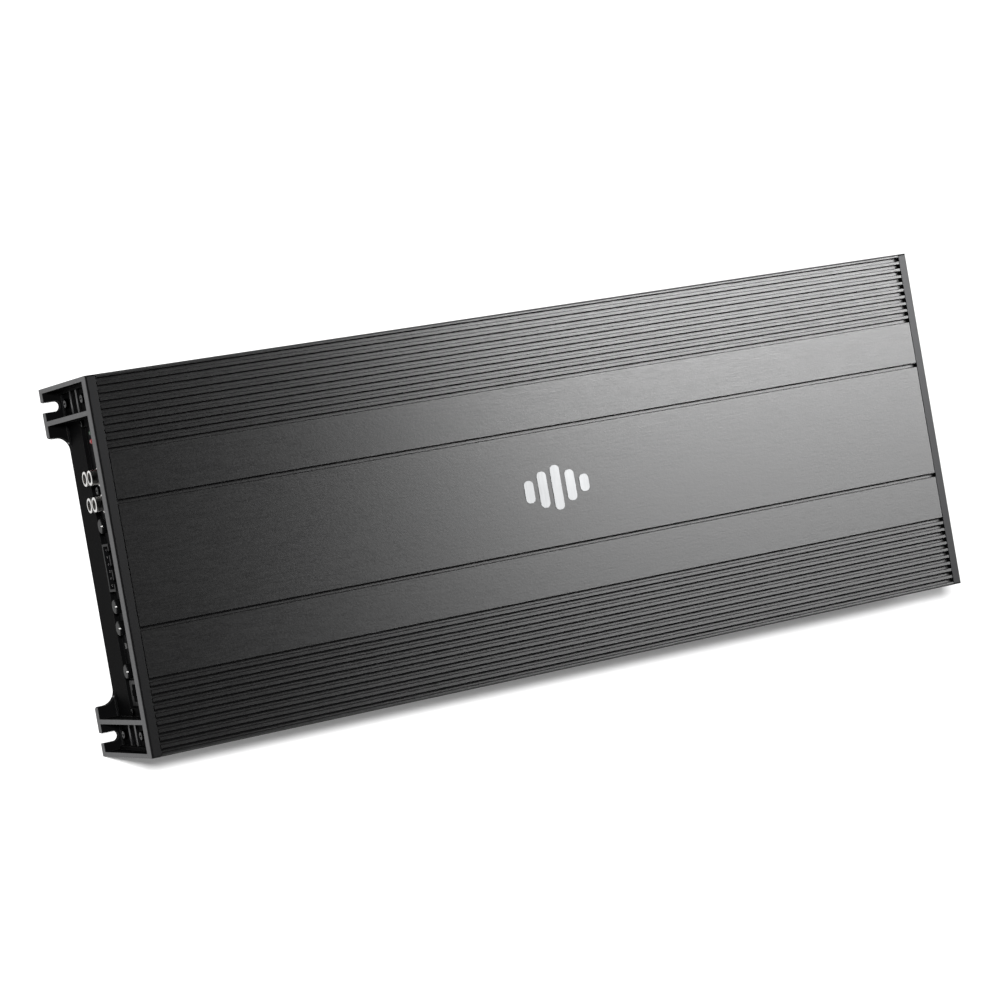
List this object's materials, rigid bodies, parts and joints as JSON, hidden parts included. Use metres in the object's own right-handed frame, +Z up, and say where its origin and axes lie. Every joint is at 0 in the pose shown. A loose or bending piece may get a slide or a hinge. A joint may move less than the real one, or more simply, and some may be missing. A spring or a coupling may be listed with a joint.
{
  "type": "car amplifier",
  "caption": "Long flat car audio amplifier in a grooved black heatsink case with open-slotted feet; signal jacks and controls at one end, power and speaker terminals at the other.",
  "frame": {"origin": "centre of the plane the four feet stand on", "axes": "+Z up out of the grooved face, +X along the case towards the power terminals, signal jacks at -X"},
  "size_m": [0.543, 0.208, 0.0752],
  "materials": {
    "black_anodised": "fine-blasted black anodised, satin",
    "cast_satin_black": "satin black over cast metal, slightly lighter cut edges",
    "black_sheet": "fine-texture black powder coat",
    "black_screw": "black zinc, rubbed bright on the head",
    "bright_screw": "bright zinc",
    "bar_aluminium": "bright satin",
    "black_moulding": "moulded, fine grain",
    "nickel": "nickel plate",
    "dark_insulator": "moulded",
    "gold_contact": "gold flash",
    "green_lens": "clear tinted epoxy",
    "red_lens": "clear tinted epoxy",
    "black_knob": "moulded, fluted",
    "switch_lever": "moulded",
    "circuit_board": "solder resist",
    "post_brass": "bright",
    "copper_winding": "enamelled copper",
    "capacitor_sleeve": "shrunk sleeve",
    "transistor_black": "epoxy with metal tab",
    "grey_pad": "silicone sheet",
    "clamp_steel": "bright zinc",
    "blue_card": "solder resist"
  },
  "bodies": {
    "case": {"heatsink": "black_anodised", "bottom_plate": "black_sheet", "bottom_plate_screws": "black_screw", "end_frame_signal": "cast_satin_black", "end_frame_power": "cast_satin_black", "end_frame_screws": "black_screw", "control_panel": "black_sheet", "power_panel": "black_sheet", "panel_screws": "black_screw", "rca_housing": "black_moulding", "rca_shells": "nickel", "rca_insulators": "dark_insulator", "rca_contacts": "gold_contact", "rca_screw": "black_screw", "high_level_socket": "black_moulding", "high_level_pins": "nickel", "remote_level_port": "black_moulding", "remote_port_contacts": "gold_contact", "power_led": "green_lens", "protect_led": "red_lens", "potentiometers": "black_moulding", "phase_switch_body": "black_moulding", "phase_switch_bezel": "clamp_steel", "control_board": "circuit_board", "control_board_posts": "post_brass", "main_board": "circuit_board", "main_board_posts": "post_brass", "power_terminal_housing": "black_moulding", "power_terminal_plates": "nickel", "speaker_terminal_housing": "black_moulding", "speaker_terminal_plates": "nickel", "power_transformers": "copper_winding", "output_inductors": "copper_winding", "input_capacitors": "capacitor_sleeve", "rail_capacitors": "capacitor_sleeve", "power_transistors": "transistor_black", "insulating_pads": "grey_pad", "transistor_clamps": "clamp_steel", "transistor_clamp_screws": "bright_screw", "driver_cards": "blue_card", "emblem_bars": "bar_aluminium"},
    "gain_knob": {"gain_knob": "black_knob"},
    "low_pass_knob": {"low_pass_knob": "black_knob"},
    "subsonic_knob": {"subsonic_knob": "black_knob"},
    "bass_boost_knob": {"bass_boost_knob": "black_knob"},
    "phase_switch": {"phase_switch_lever": "switch_lever"},
    "ground_screw": {"ground_screw": "nickel", "ground_washer": "nickel"},
    "battery_screw": {"battery_screw": "nickel", "battery_washer": "nickel"},
    "remote_screw": {"remote_screw": "nickel", "remote_washer": "nickel"},
    "speaker_1_screw": {"speaker_1_screw": "nickel", "speaker_1_washer": "nickel"},
    "speaker_2_screw": {"speaker_2_screw": "nickel", "speaker_2_washer": "nickel"},
    "speaker_3_screw": {"speaker_3_screw": "nickel", "speaker_3_washer": "nickel"},
    "speaker_4_screw": {"speaker_4_screw": "nickel", "speaker_4_washer": "nickel"}
  },
  "joints": [
    {"name": "gain_turn", "type": "hinge", "parent": "case", "child": "gain_knob", "pos_m": [-0.259, 0.0231, 0.0403], "axis": [1, 0, 0], "range_deg": [-150, 150]},
    {"name": "low_pass_turn", "type": "hinge", "parent": "case", "child": "low_pass_knob", "pos_m": [-0.259, -0.0215, 0.0403], "axis": [1, 0, 0], "range_deg": [-150, 150]},
    {"name": "subsonic_turn", "type": "hinge", "parent": "case", "child": "subsonic_knob", "pos_m": [-0.259, -0.0336, 0.0403], "axis": [1, 0, 0], "range_deg": [-150, 150]},
    {"name": "bass_boost_turn", "type": "hinge", "parent": "case", "child": "bass_boost_knob", "pos_m": [-0.259, -0.0576, 0.0403], "axis": [1, 0, 0], "range_deg": [-150, 150]},
    {"name": "phase_switch_slide", "type": "slide", "parent": "case", "child": "phase_switch", "axis": [0, -1, 0], "range_m": [0, 0.0025]},
    {"name": "ground_screw_travel", "type": "slide", "parent": "case", "child": "ground_screw", "axis": [1, 0, 0], "range_m": [0, 0.003]},
    {"name": "battery_screw_travel", "type": "slide", "parent": "case", "child": "battery_screw", "axis": [1, 0, 0], "range_m": [0, 0.003]},
    {"name": "remote_screw_travel", "type": "slide", "parent": "case", "child": "remote_screw", "axis": [1, 0, 0], "range_m": [0, 0.003]},
    {"name": "speaker_1_screw_travel", "type": "slide", "parent": "case", "child": "speaker_1_screw", "axis": [1, 0, 0], "range_m": [0, 0.003]},
    {"name": "speaker_2_screw_travel", "type": "slide", "parent": "case", "child": "speaker_2_screw", "axis": [1, 0, 0], "range_m": [0, 0.003]},
    {"name": "speaker_3_screw_travel", "type": "slide", "parent": "case", "child": "speaker_3_screw", "axis": [1, 0, 0], "range_m": [0, 0.003]},
    {"name": "speaker_4_screw_travel", "type": "slide", "parent": "case", "child": "speaker_4_screw", "axis": [1, 0, 0], "range_m": [0, 0.003]}
  ]
}
